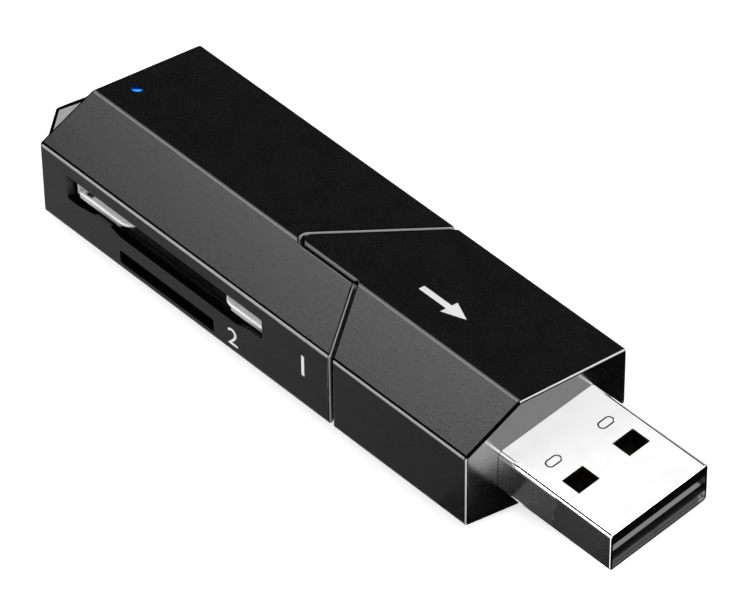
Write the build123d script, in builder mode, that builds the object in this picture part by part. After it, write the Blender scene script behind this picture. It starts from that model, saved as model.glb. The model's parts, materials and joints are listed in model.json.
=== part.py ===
from build123d import *
import math
import os

# A memory card reader: a six-sided stick with a plug at its nose and two card slots in one wall.
# It is drawn with +X along the plug, +Y towards the back wall and Z = 0 on the body's mid-plane.
# At the end the whole reader is laid on its wide lower facet, as it comes to rest on a table.

match = 0.01  # tolerance when edges and faces are picked by place

# Body section, the same above and below the mid-plane
body_length = 54.7
body_width = 19.8
ridge_inset = 6.6  # from the slot wall to the two ridges
slot_wall_height = 8.6
ridge_height = 13.0
back_wall_height = 6.9
housing_wall = 0.9
nose_wall = 1.2
rear_wall = 1.0
ridge_radius = 0.6
wall_edge_radius = 0.4
rim_radius = 0.25  # round the nose face and the rear face

# Faceted tail behind the rear face
tail_length = 5.4
tail_inset = 0.75
tail_edge = 0.9  # height of the short upright edge where its facets end
tail_radius = 0.4

# Zigzag seam between the rear housing and the nose, measured back from the nose face
seam_at_slot_wall = 16.65
seam_at_ridge = 20.3
seam_at_back_wall = 20.95
tongue_reach = 28.65
tongue_radius = 1.0
seam_corner_radius = 0.6
seam_gap = 0.25
seam_edge_radius = 0.2
lap_length = 1.2  # how far the nose's inner lip runs under the rear housing
lap_clearance = 0.05

# Plug, on a centre line a little below the mid-plane
plug_drop = 0.2
plug_width = 12.0
plug_height = 4.5
plug_reach = 13.5
plug_seat = 5.0  # length of its shell inside the nose
plug_sheet = 0.3
plug_bend_radius = 0.45
plug_rim_radius = 0.12  # rolled outer edge of the mouth
plug_clearance = 0.05
window_width = 2.55
window_length = 2.1
window_pitch = 6.2
window_from_tip = 5.35
dimple_width = 1.75
dimple_length = 1.0
dimple_depth = 0.12
dimple_groove = 0.16  # pressed line round each dimple
dimple_from_nose = 3.95
dimple_pitch = 6.45
fold_gap = 0.1  # butt joint of the folded shell, underneath
leg_length = 2.2
leg_above = 0.6
leg_below = 0.7
leg_clearance = 0.1

# Plug insert: a tongue in the lower half of the shell and a full-height block at the rear
tongue_recess = 0.3
tongue_chamfer = 0.28
insert_clearance = 0.05
insert_block = 6.0
pin_pitches = (-3.5, -1.0, 1.0, 3.5)
pin_width = 1.0
pin_sheet = 0.25
pin_recess = 2.0  # from the tongue's front to the pins
pin_proud = 0.05
pin_foot = 1.6

# Circuit board
board_drop = 0.5  # its top face, below the mid-plane
board_thickness = 1.0
board_clearance = 0.3
board_corner_radius = 0.8
rail_height = 0.8
rail_depth = 0.9
rail_clearance = 0.1
rail_length = 24.0

# Large card socket, on top of the board
large_from_rear = 16.35  # middle of the slot, ahead of the rear face
large_card_width = 24.0
large_card_thickness = 2.1
large_card_play = 0.3
large_side_play = 0.25
large_sheet = 0.25
large_floor_plate = 0.4
large_mouth_width = 25.7
large_pin_pitch = 2.5
large_pin_count = 9
large_pin_width = 0.8
large_pin_rise = 0.75
large_pin_reach = 4.6
switch_inset = 0.55  # leaf contacts, from the channel's two sides
switch_bump = 0.35
switch_height = 1.1
switch_reach = 5.2
ear_rear = 6.9  # lower flange nearest the tail
ear_front = 5.95  # lower flange nearest the nose
ear_depth = 4.5
ear_radius = 1.5
ear_lip = 0.4  # turned-down front edge of the flanges
ear_bend = 0.2
ear_notch_length = 0.9
ear_notch_width = 0.5
thumb_relief_width = 15.2
thumb_relief_shift = 1.9  # towards the nose, from the middle of the slot
thumb_relief_run = 1.4  # length of its sloped ends
thumb_relief_depth = 0.5
end_relief_width = 1.45
end_relief_run = 2.3
sill_drop = 0.05  # mouth's lower edge, below the flanges that a card slides over
sill_thickness = 0.3  # skin of the slot wall left in front of the flanges
sill_clearance = 0.05
mouth_radius = 0.25
mouth_clearance = 0.05  # socket mouths behind the slot wall

# Small card socket, under the board
small_from_rear = 16.6
small_card_width = 11.0
small_card_thickness = 0.7
small_card_play = 0.4
small_side_play = 0.15
small_sheet = 0.2
small_depth = 13.0
small_floor_plate = 0.55
small_mouth_width = 12.4
small_mouth_height = 1.55
small_mouth_drop = 0.5  # from the board's lower face
small_pin_pitch = 1.1
small_pin_count = 8
small_pin_width = 0.5
small_pin_rise = 0.4
small_pin_reach = 3.4
small_flange = 0.9  # foot strip of the shield, soldered to the board

# Shared details of the card contacts
contact_sheet = 0.15
contact_clearance = 0.05
contact_foot = 0.8
contact_tip = 0.7  # share of the rise that is left at a contact's tip
socket_block = 2.0
socket_rear_room = 0.5  # from the large socket's contacts to the board's rails

# Status lamp and its light pipe through the upper facet
lamp_from_rear = 2.0
lamp_y = 0.25
lamp_hole = 1.2
lamp_clearance = 0.05
lamp_recess = 0.2
lamp_flange = 1.6
lamp_flange_thickness = 0.5
lamp_chip_length = 1.6
lamp_chip_width = 0.8
lamp_chip_height = 0.6
lamp_chip_radius = 0.15
lamp_air = 0.3

# Controller, crystal and small parts on the board, between the plug and the large socket
chip_x = -11.8
chip_length = 9.9
chip_width = 3.9
chip_height = 1.4
chip_standoff = 0.1
chip_chamfer = 0.1
chip_lead_count = 8  # along each long side
chip_lead_pitch = 1.27
chip_lead_width = 0.4
chip_lead_sheet = 0.2
chip_lead_reach = 1.05
crystal_x = -17.2
crystal_y = 3.5
crystal_length = 3.2
crystal_width = 2.5
crystal_height = 0.8
crystal_radius = 0.4
chip_part_length = 1.6
chip_part_width = 0.8
capacitor_height = 0.8
resistor_height = 0.45
capacitor_places = ((-9.4, 7.0), (-9.4, -7.0), (-17.2, -1.0), (-17.2, -6.2))
resistor_places = ((-17.2, 6.6), (-17.2, -3.6), (-12.4, 7.0))

# Places that follow from the sizes above
slot_y = -body_width / 2
back_y = body_width / 2
ridge_y = slot_y + ridge_inset
facet_slope = (ridge_height - back_wall_height) / 2 / (body_width - ridge_inset)
lean = math.degrees(math.atan(facet_slope))
plug_z = -plug_drop
board_top = -board_drop
board_bottom = board_top - board_thickness
board_rear_x = -body_length + rear_wall + board_clearance
board_front_x = -plug_seat - leg_clearance
board_slot_y = slot_y + housing_wall + board_clearance
board_back_y = back_y - housing_wall - board_clearance
mouth_y = slot_y + housing_wall + mouth_clearance
large_x = -body_length + large_from_rear
small_x = -body_length + small_from_rear
lamp_x = -body_length + lamp_from_rear
large_plate_top = board_top + large_floor_plate
large_floor = large_plate_top + contact_clearance + large_sheet
large_ceiling = large_floor + large_card_thickness + large_card_play
large_sill = large_floor - sill_drop
large_relief = large_floor - thumb_relief_depth
large_channel = large_card_width + 2 * large_side_play
contact_tail = contact_clearance + contact_sheet / 2 + contact_foot
large_end_y = back_y - housing_wall - rail_depth - socket_rear_room - contact_tail
large_depth = large_end_y - mouth_y
small_plate_bottom = board_bottom - small_floor_plate
small_ceiling = small_plate_bottom - contact_clearance
small_floor = small_ceiling - small_card_thickness - small_card_play
small_channel = small_card_width + 2 * small_side_play
small_end_y = mouth_y + small_depth


def body_section(x, inset):
    # Six-sided section at x, drawn in from the outer skin
    with BuildSketch(Plane.YZ.offset(x)) as section:
        with BuildLine():
            Polyline(
                (slot_y, slot_wall_height / 2),
                (ridge_y, ridge_height / 2),
                (back_y, back_wall_height / 2),
                (back_y, -back_wall_height / 2),
                (ridge_y, -ridge_height / 2),
                (slot_y, -slot_wall_height / 2),
                close=True,
            )
        make_face()
        if inset > 0:
            offset(amount=-inset, kind=Kind.INTERSECTION)
    return section.sketch


def nose_plan(grow):
    # Plan of all that lies ahead of the zigzag seam, grown towards the rear
    slot_slant = (seam_at_ridge - seam_at_slot_wall) / ridge_inset
    back_slant = (tongue_reach - seam_at_back_wall) / (body_width - ridge_inset)
    margin = body_width / 4
    with BuildSketch(Plane.XY.offset(-ridge_height)) as plan:
        with BuildLine():
            Polyline(
                (margin, slot_y - margin),
                (-seam_at_slot_wall + slot_slant * margin, slot_y - margin),
                (-seam_at_ridge, ridge_y),
                (-tongue_reach, ridge_y),
                (-seam_at_back_wall + back_slant * margin, back_y + margin),
                (margin, back_y + margin),
                close=True,
            )
        make_face()
        fillet(plan.vertices().sort_by(Axis.X)[0], tongue_radius)
        fillet(plan.vertices().sort_by_distance((-seam_at_ridge, ridge_y))[0], seam_corner_radius)
        offset(amount=grow, kind=Kind.INTERSECTION)
    return plan.sketch


def round_long_edges(housing):
    # Ridges first, then the four edges of the slot wall and the back wall
    along = housing.edges().filter_by(Axis.X)
    fillet(along.group_by(Axis.Z)[0] + along.group_by(Axis.Z)[-1], ridge_radius)
    along = housing.edges().filter_by(Axis.X)
    fillet(
        along.filter_by_position(Axis.Y, slot_y - match, slot_y + match)
        + along.filter_by_position(Axis.Y, back_y - match, back_y + match),
        wall_edge_radius,
    )


def seam_edges(housing):
    # Outer edges of the upright faces that the seam leaves on a housing
    edges = ShapeList()
    for face in housing.faces():
        upright = abs(face.normal_at().Z) < match
        between_walls = slot_y + housing_wall < face.center().Y < back_y - housing_wall
        if upright and between_walls and -body_length < face.center().X < -rim_radius - nose_wall:
            inner = face.edges().filter_by(Axis.Z).filter_by_position(Axis.Y, slot_y / 2, back_y / 2)
            edges += [edge for edge in face.edges() if edge not in inner]
    return edges


def strip(plane, points, thickness, width):
    # Bent sheet strip whose middle line runs through points on the plane
    with BuildPart() as bent:
        with BuildSketch(plane):
            with BuildLine():
                Polyline(*points)
            trace(line_width=thickness)
        extrude(amount=width / 2, both=True)
    return bent.part


def row(count, pitch, middle):
    return [(middle + (index - (count - 1) / 2) * pitch, 0, 0) for index in range(count)]


# Light pipe axis: square to the upper facet, at the lamp's hole
facet_height = ridge_height / 2 - (lamp_y - ridge_y) * facet_slope
lamp_axis = Plane(
    origin=(lamp_x, lamp_y, facet_height),
    x_dir=(1, 0, 0),
    z_dir=(0, math.sin(math.radians(lean)), math.cos(math.radians(lean))),
)

# Mouths of the two card slots, drawn on the slot wall
slot_wall = Plane.XZ.offset(-slot_y)
thumb_rear_x = large_x + thumb_relief_shift - thumb_relief_width / 2
thumb_front_x = large_x + thumb_relief_shift + thumb_relief_width / 2
mouth_rear_x = large_x - large_mouth_width / 2
mouth_front_x = large_x + large_mouth_width / 2
end_front_x = mouth_rear_x + end_relief_width
with BuildSketch(slot_wall) as large_mouth:
    with BuildLine():
        Polyline(
            (mouth_rear_x, large_ceiling),
            (mouth_rear_x, large_relief),
            (end_front_x, large_relief),
            (end_front_x + end_relief_run, large_sill),
            (thumb_rear_x - thumb_relief_run, large_sill),
            (thumb_rear_x, large_relief),
            (thumb_front_x, large_relief),
            (thumb_front_x + thumb_relief_run, large_sill),
            (mouth_front_x, large_sill),
            (mouth_front_x, large_ceiling),
            close=True,
        )
    make_face()
    fillet(large_mouth.vertices(), mouth_radius)
# Behind its sill the mouth is rebated for the flanges of the large socket
rebate_floor = large_floor - large_sheet - ear_lip - sill_clearance
with BuildSketch(slot_wall.offset(-sill_thickness)) as mouth_rebate:
    with Locations((large_x, rebate_floor)):
        Rectangle(large_mouth_width, large_floor - rebate_floor, align=(Align.CENTER, Align.MIN))
with BuildSketch(slot_wall) as small_mouth:
    with Locations((small_x, board_bottom - small_mouth_drop)):
        Rectangle(small_mouth_width, small_mouth_height, align=(Align.CENTER, Align.MAX))
    fillet(small_mouth.vertices(), mouth_radius)

# Tail: a block on the inset rear section, cut to six facets that meet at a short upright edge
tail_base = body_section(-body_length, tail_inset)
with BuildPart() as tail:
    extrude(tail_base, amount=-tail_length)
    for side in tail_base.edges():
        start = side.position_at(0)
        across = side.position_at(1) - start
        tip = Vector(-body_length - tail_length, ridge_y, math.copysign(tail_edge / 2, side.center().Z))
        cut = Plane(origin=start, x_dir=across, z_dir=across.cross(tip - start))
        inward = cut.to_local_coords(tail_base.center()).Z > 0
        split(bisect_by=cut, keep=Keep.TOP if inward else Keep.BOTTOM)
    base_edges = tail.faces().sort_by(Axis.X)[-1].edges()
    fillet([edge for edge in tail.edges() if edge not in base_edges], tail_radius)

# Space in the rear housing's wall for the nose's inner lip
with BuildPart() as lap_space:
    extrude(body_section(-body_length, housing_wall / 2 - lap_clearance / 2), amount=body_length)
    extrude(nose_plan(lap_length + seam_gap), amount=2 * ridge_height, mode=Mode.INTERSECT)

# Rear housing: a closed-ended sleeve with both card slots and the lamp's hole
with BuildPart() as rear_housing:
    extrude(body_section(-body_length, 0), amount=body_length)
    extrude(nose_plan(seam_gap / 2), amount=2 * ridge_height, mode=Mode.SUBTRACT)
    round_long_edges(rear_housing)
    fillet(seam_edges(rear_housing), seam_edge_radius)
    fillet(rear_housing.faces().filter_by(Axis.X).sort_by(Axis.X)[0].edges(), rim_radius)
    add(tail.part)
    extrude(body_section(-body_length + rear_wall, housing_wall), amount=body_length, mode=Mode.SUBTRACT)
    add(lap_space.part, mode=Mode.SUBTRACT)
    extrude(large_mouth.sketch, amount=-2 * housing_wall, mode=Mode.SUBTRACT)
    extrude(mouth_rebate.sketch, amount=-2 * housing_wall, mode=Mode.SUBTRACT)
    extrude(small_mouth.sketch, amount=-2 * housing_wall, mode=Mode.SUBTRACT)
    with BuildSketch(lamp_axis):
        Circle(lamp_hole / 2)
    extrude(amount=-2 * housing_wall, mode=Mode.SUBTRACT)
    # Two rails on the back wall hold the board's edge
    rail_faces = (board_top + rail_clearance, board_bottom - rail_clearance - rail_height)
    for rail_foot in rail_faces:
        with BuildSketch(Plane.YZ.offset(-body_length + rear_wall)):
            with Locations((back_y - housing_wall - rail_depth, rail_foot)):
                Rectangle(rail_depth + housing_wall / 2, rail_height, align=(Align.MIN, Align.MIN))
        extrude(amount=rail_length)

# Nose: the front housing with its tongue, its inner lip and the plug's window
with BuildPart() as nose_lip:
    extrude(body_section(-body_length, housing_wall / 2 + lap_clearance / 2), amount=body_length - nose_wall)
    extrude(nose_plan(lap_length), amount=2 * ridge_height, mode=Mode.INTERSECT)
with BuildPart() as front_housing:
    extrude(body_section(-body_length, 0), amount=body_length)
    extrude(nose_plan(-seam_gap / 2), amount=2 * ridge_height, mode=Mode.INTERSECT)
    round_long_edges(front_housing)
    fillet(seam_edges(front_housing), seam_edge_radius)
    fillet(front_housing.faces().filter_by(Axis.X).sort_by(Axis.X)[-1].edges(), rim_radius)
    add(nose_lip.part)
    extrude(body_section(-body_length, housing_wall), amount=body_length - nose_wall, mode=Mode.SUBTRACT)
    with BuildSketch(Plane.YZ):
        with Locations((0, plug_z)):
            RectangleRounded(
                plug_width + 2 * plug_clearance,
                plug_height + 2 * plug_clearance,
                plug_bend_radius + plug_clearance,
            )
    extrude(amount=-2 * nose_wall, mode=Mode.SUBTRACT)

# Light pipe with a flange under the facet, and the lamp on the board below it
with BuildPart() as light_pipe:
    pipe_length = (facet_height - board_top - lamp_chip_height - lamp_air) / lamp_axis.z_dir.Z
    with BuildSketch(lamp_axis.offset(-lamp_recess)):
        Circle(lamp_hole / 2 - lamp_clearance)
    extrude(amount=lamp_recess - pipe_length)
    with BuildSketch(lamp_axis.offset(-housing_wall - lamp_clearance)):
        Circle(lamp_flange / 2)
    extrude(amount=-lamp_flange_thickness)
lamp_spot = lamp_axis.origin - lamp_axis.z_dir * pipe_length
with BuildPart() as status_lamp:
    with Locations((lamp_x, lamp_spot.Y, board_top)):
        Box(
            lamp_chip_width,
            lamp_chip_length,
            lamp_chip_height,
            align=(Align.CENTER, Align.CENTER, Align.MIN),
        )
    fillet(status_lamp.edges().group_by(Axis.Z)[-1], lamp_chip_radius)

# Circuit board, notched for the plug's legs
with BuildPart() as circuit_board:
    with BuildSketch(Plane.XY.offset(board_bottom)) as board_plan:
        with Locations((board_rear_x, board_slot_y)):
            Rectangle(
                board_front_x - board_rear_x,
                board_back_y - board_slot_y,
                align=(Align.MIN, Align.MIN),
            )
        fillet(board_plan.vertices(), board_corner_radius)
        with GridLocations(0, plug_width - plug_sheet, 1, 2):
            with Locations((board_front_x, 0)):
                Rectangle(
                    2 * (leg_length + leg_clearance),
                    plug_sheet + 2 * leg_clearance,
                    mode=Mode.SUBTRACT,
                )
    extrude(amount=board_thickness)

# Plug shell: sheet folded round, with two windows above and below, two dimples and two legs
with BuildPart() as plug_shell:
    with BuildSketch(Plane.YZ.offset(-plug_seat)):
        with Locations((0, plug_z)):
            RectangleRounded(plug_width, plug_height, plug_bend_radius)
            RectangleRounded(
                plug_width - 2 * plug_sheet,
                plug_height - 2 * plug_sheet,
                plug_bend_radius - plug_sheet,
                mode=Mode.SUBTRACT,
            )
    extrude(amount=plug_seat + plug_reach)
    fillet(plug_shell.faces().sort_by(Axis.X)[-1].outer_wire().edges(), plug_rim_radius)
    with BuildSketch(Plane.XY.offset(plug_z)):
        with Locations((plug_reach - window_from_tip - window_length / 2, 0)):
            with GridLocations(0, window_pitch, 1, 2):
                Rectangle(window_length, window_width)
    extrude(amount=plug_height, both=True, mode=Mode.SUBTRACT)
    with BuildSketch(Plane.XY.offset(plug_z + plug_height / 2 - dimple_depth)):
        with Locations((dimple_from_nose, 0)):
            with GridLocations(0, dimple_pitch, 1, 2):
                SlotOverall(dimple_width, dimple_length, rotation=90)
                SlotOverall(
                    dimple_width - 2 * dimple_groove,
                    dimple_length - 2 * dimple_groove,
                    rotation=90,
                    mode=Mode.SUBTRACT,
                )
    extrude(amount=plug_sheet, mode=Mode.SUBTRACT)
    with Locations(((plug_reach - plug_seat) / 2, 0, plug_z - plug_height / 2)):
        Box(plug_reach + plug_seat, fold_gap, 2 * plug_sheet, mode=Mode.SUBTRACT)
    with GridLocations(0, plug_width - plug_sheet, 1, 2):
        with Locations((-plug_seat, 0, board_bottom - leg_below)):
            Box(
                leg_length,
                plug_sheet,
                leg_below + board_thickness + leg_above,
                align=(Align.MAX, Align.CENTER, Align.MIN),
            )

# Plug insert and its four pins, which come out at the back and down to the board
insert_width = plug_width - 2 * (plug_sheet + insert_clearance)
insert_height = plug_height - 2 * (plug_sheet + insert_clearance)
tongue_front = plug_reach - tongue_recess
pin_level = plug_z + pin_proud - pin_sheet / 2
pin_rear_x = -plug_seat - insert_clearance - pin_sheet / 2
pin_path = (
    (tongue_front - pin_recess, pin_level),
    (pin_rear_x, pin_level),
    (pin_rear_x, board_top + pin_sheet / 2),
    (pin_rear_x - pin_foot, board_top + pin_sheet / 2),
)
pin_places = [(0, y, 0) for y in pin_pitches]
with BuildPart() as plug_insert:
    with BuildSketch(Plane.YZ.offset(-plug_seat)):
        with Locations((0, plug_z)):
            RectangleRounded(insert_width, insert_height, plug_bend_radius - plug_sheet)
    extrude(amount=plug_seat + tongue_front)
    with Locations((insert_block - plug_seat, 0, plug_z)):
        Box(
            2 * plug_reach,
            plug_width,
            plug_height,
            align=(Align.MIN, Align.CENTER, Align.MIN),
            mode=Mode.SUBTRACT,
        )
    chamfer(plug_insert.faces().sort_by(Axis.X)[-1].edges().sort_by(Axis.Z)[-1], tongue_chamfer)
    with Locations(*pin_places):
        add(
            strip(
                Plane.XZ,
                ((tongue_front - pin_recess + contact_clearance, pin_level), (2 * pin_rear_x, pin_level)),
                pin_sheet + 2 * contact_clearance,
                pin_width + 2 * contact_clearance,
            ),
            mode=Mode.SUBTRACT,
        )
with BuildPart() as plug_pins:
    with Locations(*pin_places):
        add(strip(Plane.XZ, pin_path, pin_sheet, pin_width))

# Large card socket: plastic base with a rear block, folded shield with two lower flanges, contacts
large_contact_level = large_plate_top + contact_sheet / 2 + contact_clearance
large_tip_y = large_end_y - socket_block - large_pin_reach
large_rear_y = large_end_y + contact_clearance + contact_sheet / 2
large_path = (
    (large_rear_y + contact_foot, board_top + contact_sheet / 2),
    (large_rear_y, board_top + contact_sheet / 2),
    (large_rear_y, large_contact_level),
    (large_tip_y + large_pin_rise * 2, large_contact_level),
    (large_tip_y + large_pin_rise / 2, large_contact_level + large_pin_rise),
    (large_tip_y, large_contact_level + large_pin_rise * contact_tip),
)
large_places = row(large_pin_count, large_pin_pitch, large_x)
switch_level = Plane.XY.offset(large_plate_top + contact_clearance + switch_height / 2)
switch_offset = large_channel / 2 - switch_inset
switch_sides = (-1, 1)
with BuildPart() as large_socket_base:
    with Locations((large_x, board_slot_y, board_top)):
        Box(
            large_channel,
            large_end_y - board_slot_y,
            large_floor_plate,
            align=(Align.CENTER, Align.MIN, Align.MIN),
        )
    with Locations((large_x, large_end_y, board_top)):
        Box(
            large_channel - 2 * contact_clearance,
            socket_block,
            large_ceiling - contact_clearance - board_top,
            align=(Align.CENTER, Align.MAX, Align.MIN),
        )
    with Locations(*large_places):
        add(
            strip(
                Plane.YZ,
                (
                    (large_end_y - 2 * socket_block, large_contact_level),
                    (2 * large_end_y, large_contact_level),
                ),
                contact_sheet + 2 * contact_clearance,
                large_pin_width + 2 * contact_clearance,
            ),
            mode=Mode.SUBTRACT,
        )
    for side in switch_sides:
        leaf_x = large_x + side * switch_offset
        add(
            strip(
                switch_level,
                ((leaf_x, large_end_y - 2 * socket_block), (leaf_x, 2 * large_end_y)),
                contact_sheet + 2 * contact_clearance,
                switch_height + 2 * contact_clearance,
            ),
            mode=Mode.SUBTRACT,
        )
with BuildPart() as large_socket_shield:
    shield_height = large_ceiling - large_floor + 2 * large_sheet
    with Locations((large_x, mouth_y, large_floor - large_sheet)):
        Box(
            large_channel + 2 * large_sheet,
            large_depth - contact_clearance,
            shield_height,
            align=(Align.CENTER, Align.MIN, Align.MIN),
        )
    with Locations((large_x, mouth_y, large_floor)):
        Box(
            large_channel,
            2 * large_depth,
            large_ceiling - large_floor,
            align=(Align.CENTER, Align.CENTER, Align.MIN),
            mode=Mode.SUBTRACT,
        )
    # The lower sheet is cut away, apart from the two flanges at the mouth
    with BuildSketch(Plane.XY.offset(large_floor - 2 * large_sheet)) as cut_out:
        with Locations((large_x, mouth_y + ear_depth)):
            Rectangle(large_channel, large_depth, align=(Align.CENTER, Align.MIN))
        with Locations((large_x - large_channel / 2 + ear_rear, mouth_y - ear_depth)):
            Rectangle(large_channel - ear_rear - ear_front, 3 * ear_depth, align=(Align.MIN, Align.MIN))
    extrude(amount=large_sheet * 2, mode=Mode.SUBTRACT)
    ear_corners = (
        large_socket_shield.edges()
        .filter_by(Axis.Z)
        .filter_by_position(Axis.Y, mouth_y - match, mouth_y + match)
        .filter_by_position(
            Axis.X,
            large_x - large_channel / 2 + ear_radius,
            large_x + large_channel / 2 - ear_radius,
        )
    )
    fillet(ear_corners, ear_radius)
    with Locations((large_x - large_channel / 2 + ear_notch_length, mouth_y + ear_notch_width, large_floor)):
        Box(ear_notch_length, ear_notch_width, 2 * large_sheet, mode=Mode.SUBTRACT)
    for ear_start, ear_length in (
        (large_x - large_channel / 2, ear_rear - ear_radius),
        (large_x + large_channel / 2 - ear_front + ear_radius, ear_front - ear_radius),
    ):
        with Locations((ear_start, mouth_y, large_floor)):
            Box(
                ear_length,
                large_sheet,
                large_sheet + ear_lip,
                align=(Align.MIN, Align.MIN, Align.MAX),
            )
    ear_fronts = (
        large_socket_shield.edges()
        .filter_by(Axis.X)
        .filter_by_position(Axis.Y, mouth_y - match, mouth_y + match)
        .filter_by_position(Axis.Z, large_floor - match, large_floor + match)
    )
    fillet(ear_fronts, ear_bend)
with BuildPart() as large_socket_contacts:
    with Locations(*large_places):
        add(strip(Plane.YZ, large_path, contact_sheet, large_pin_width))

# Leaf contacts at both sides of the channel sense the card and its lock tab
with BuildPart() as large_socket_switches:
    switch_tip_y = large_end_y - socket_block - switch_reach
    for side in switch_sides:
        leaf_x = large_x + side * switch_offset
        leaf_path = (
            (leaf_x, large_rear_y + contact_foot),
            (leaf_x, switch_tip_y + switch_reach / 2),
            (leaf_x - side * switch_bump, switch_tip_y + switch_reach / 4),
            (leaf_x, switch_tip_y),
        )
        add(strip(switch_level, leaf_path, contact_sheet, switch_height))
        with Locations((leaf_x, large_rear_y, board_top)):
            Box(
                contact_sheet,
                contact_foot,
                large_floor_plate + switch_height,
                align=(Align.CENTER, Align.MIN, Align.MIN),
            )

# Small card socket, hung under the board: base, shield and contacts
small_contact_level = small_plate_bottom - contact_sheet / 2 - contact_clearance
small_tip_y = small_end_y - socket_block - small_pin_reach
small_rear_y = small_end_y + contact_clearance + contact_sheet / 2
small_path = (
    (small_rear_y + contact_foot, board_bottom - contact_sheet / 2),
    (small_rear_y, board_bottom - contact_sheet / 2),
    (small_rear_y, small_contact_level),
    (small_tip_y + small_pin_rise * 2, small_contact_level),
    (small_tip_y + small_pin_rise / 2, small_contact_level - small_pin_rise),
    (small_tip_y, small_contact_level - small_pin_rise * contact_tip),
)
small_places = row(small_pin_count, small_pin_pitch, small_x)
with BuildPart() as small_socket_base:
    with Locations((small_x, board_slot_y, board_bottom)):
        Box(
            small_channel - 2 * contact_clearance,
            small_end_y - board_slot_y,
            small_floor_plate,
            align=(Align.CENTER, Align.MIN, Align.MAX),
        )
    with Locations((small_x, small_end_y, board_bottom)):
        Box(
            small_channel - 2 * contact_clearance,
            socket_block,
            board_bottom - small_floor - contact_clearance,
            align=(Align.CENTER, Align.MAX, Align.MAX),
        )
    with Locations(*small_places):
        add(
            strip(
                Plane.YZ,
                (
                    (small_end_y - 2 * socket_block, small_contact_level),
                    (3 * small_end_y, small_contact_level),
                ),
                contact_sheet + 2 * contact_clearance,
                small_pin_width + 2 * contact_clearance,
            ),
            mode=Mode.SUBTRACT,
        )
with BuildPart() as small_socket_shield:
    with Locations((small_x, mouth_y, board_bottom)):
        Box(
            small_channel + 2 * small_sheet,
            small_depth - contact_clearance,
            board_bottom - small_floor + small_sheet,
            align=(Align.CENTER, Align.MIN, Align.MAX),
        )
        Box(
            small_channel,
            2 * small_depth,
            board_bottom - small_floor,
            align=(Align.CENTER, Align.CENTER, Align.MAX),
            mode=Mode.SUBTRACT,
        )
    with Locations((small_x, board_slot_y, board_bottom)):
        Box(
            small_channel + 2 * (small_sheet + small_flange),
            small_depth / 2,
            small_sheet,
            align=(Align.CENTER, Align.MIN, Align.MAX),
        )
        Box(
            small_channel,
            small_depth,
            small_sheet,
            align=(Align.CENTER, Align.MIN, Align.MAX),
            mode=Mode.SUBTRACT,
        )
with BuildPart() as small_socket_contacts:
    with Locations(*small_places):
        add(strip(Plane.YZ, small_path, contact_sheet, small_pin_width))

# Controller chip across the board, with gull-wing leads along both long sides
chip_bottom = board_top + chip_standoff
with BuildPart() as controller_chip:
    with Locations((chip_x, 0, chip_bottom)):
        Box(
            chip_width,
            chip_length,
            chip_height,
            align=(Align.CENTER, Align.CENTER, Align.MIN),
        )
    chamfer(controller_chip.edges().group_by(Axis.Z)[-1], chip_chamfer)
with BuildPart() as controller_leads:
    lead_level = chip_bottom + chip_height / 2
    lead_path = (
        (chip_width / 2, lead_level),
        (chip_width / 2 + chip_lead_reach / 3, lead_level),
        (chip_width / 2 + chip_lead_reach / 2, board_top + chip_lead_sheet / 2),
        (chip_width / 2 + chip_lead_reach, board_top + chip_lead_sheet / 2),
    )
    lead = strip(Plane.XZ, lead_path, chip_lead_sheet, chip_lead_width)
    with Locations(*[(chip_x, place, 0) for place, _, _ in row(chip_lead_count, chip_lead_pitch, 0)]):
        add(lead)
        add(lead.mirror(Plane.YZ))

# Crystal, capacitors and resistors
with BuildPart() as crystal:
    with Locations((crystal_x, crystal_y, board_top)):
        Box(
            crystal_length,
            crystal_width,
            crystal_height,
            align=(Align.CENTER, Align.CENTER, Align.MIN),
        )
    fillet(crystal.edges().filter_by(Axis.Z), crystal_radius)
with BuildPart() as capacitors:
    with Locations(*[(x, y, board_top) for x, y in capacitor_places]):
        Box(
            chip_part_length,
            chip_part_width,
            capacitor_height,
            align=(Align.CENTER, Align.CENTER, Align.MIN),
        )
with BuildPart() as resistors:
    with Locations(*[(x, y, board_top) for x, y in resistor_places]):
        Box(
            chip_part_length,
            chip_part_width,
            resistor_height,
            align=(Align.CENTER, Align.CENTER, Align.MIN),
        )

pieces = {
    "rear_housing": rear_housing,
    "front_housing": front_housing,
    "light_pipe": light_pipe,
    "status_lamp": status_lamp,
    "circuit_board": circuit_board,
    "plug_shell": plug_shell,
    "plug_insert": plug_insert,
    "plug_pins": plug_pins,
    "large_socket_base": large_socket_base,
    "large_socket_shield": large_socket_shield,
    "large_socket_contacts": large_socket_contacts,
    "large_socket_switches": large_socket_switches,
    "small_socket_base": small_socket_base,
    "small_socket_shield": small_socket_shield,
    "small_socket_contacts": small_socket_contacts,
    "controller_chip": controller_chip,
    "controller_leads": controller_leads,
    "crystal": crystal,
    "capacitors": capacitors,
    "resistors": resistors,
}

# Lay the reader on its wide lower facet, with the origin under the middle of its box
tip_over = Location((0, 0, 0), (-lean, 0, 0))
box = Compound([piece.part.moved(tip_over) for piece in pieces.values()]).bounding_box()
rest = Location((-box.center().X, -box.center().Y, -box.min.Z)) * tip_over
os.makedirs("parts", exist_ok=True)
for name, piece in pieces.items():
    laid = piece.part.moved(rest)
    laid.label = name
    export_step(laid, f"parts/{name}.step")
origin_now = [round(value, 4) for value in rest.position]
print("origin of the drawing frame now at", origin_now, "lean", round(lean, 4))
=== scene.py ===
import json
import math

import bpy
import numpy as np
from mathutils import Matrix, Vector


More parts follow.
